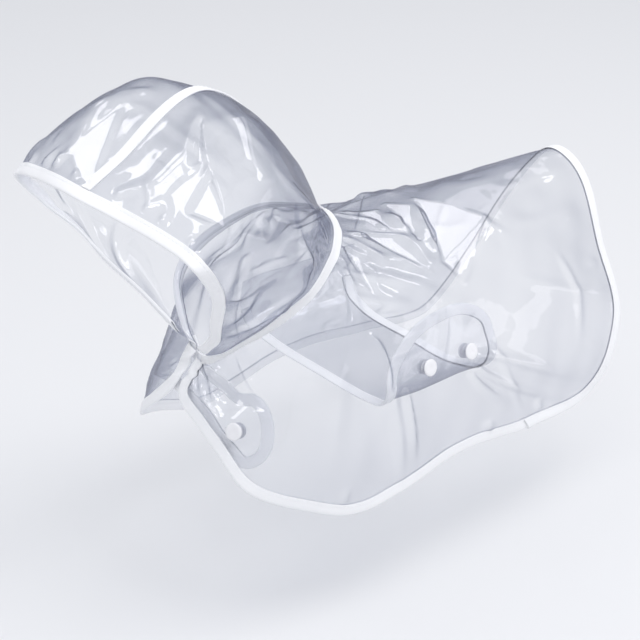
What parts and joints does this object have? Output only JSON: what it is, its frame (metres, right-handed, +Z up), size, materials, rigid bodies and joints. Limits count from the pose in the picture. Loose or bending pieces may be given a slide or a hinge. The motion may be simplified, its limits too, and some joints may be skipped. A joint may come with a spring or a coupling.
{
  "type": "dog raincoat",
  "caption": "Hooded raincoat for a small dog: clear film cape and hood with bound edges, a chest flap and a belly strap closed by press studs.",
  "frame": {"origin": "on the wearer's withers, under the cape just behind the neck seam", "axes": "+X towards the wearer's tail, -X towards its face, +Y its far side, -Y the near side where the flap and strap close, +Z up"},
  "size_m": [0.4445, 0.1949, 0.3016],
  "materials": {
    "clear_film": "clear gloss",
    "white_tape": "matte woven",
    "white_stud": "satin"
  },
  "bodies": {
    "root": {"hood_near": "clear_film", "hood_far": "clear_film", "cape": "clear_film", "chest_flap": "clear_film", "belly_strap": "clear_film", "hood_seam_tape": "white_tape", "face_binding": "white_tape", "neck_tape": "white_tape", "hem_binding": "white_tape", "chest_flap_binding": "white_tape", "belly_strap_binding": "white_tape", "chest_stud_cap": "white_stud", "chest_stud_socket": "white_stud", "chest_stud_back": "white_stud", "belly_stud_front_cap": "white_stud", "belly_stud_front_socket": "white_stud", "belly_stud_front_back": "white_stud", "belly_stud_rear_cap": "white_stud", "belly_stud_rear_socket": "white_stud", "belly_stud_rear_back": "white_stud"}
  },
  "joints": []
}
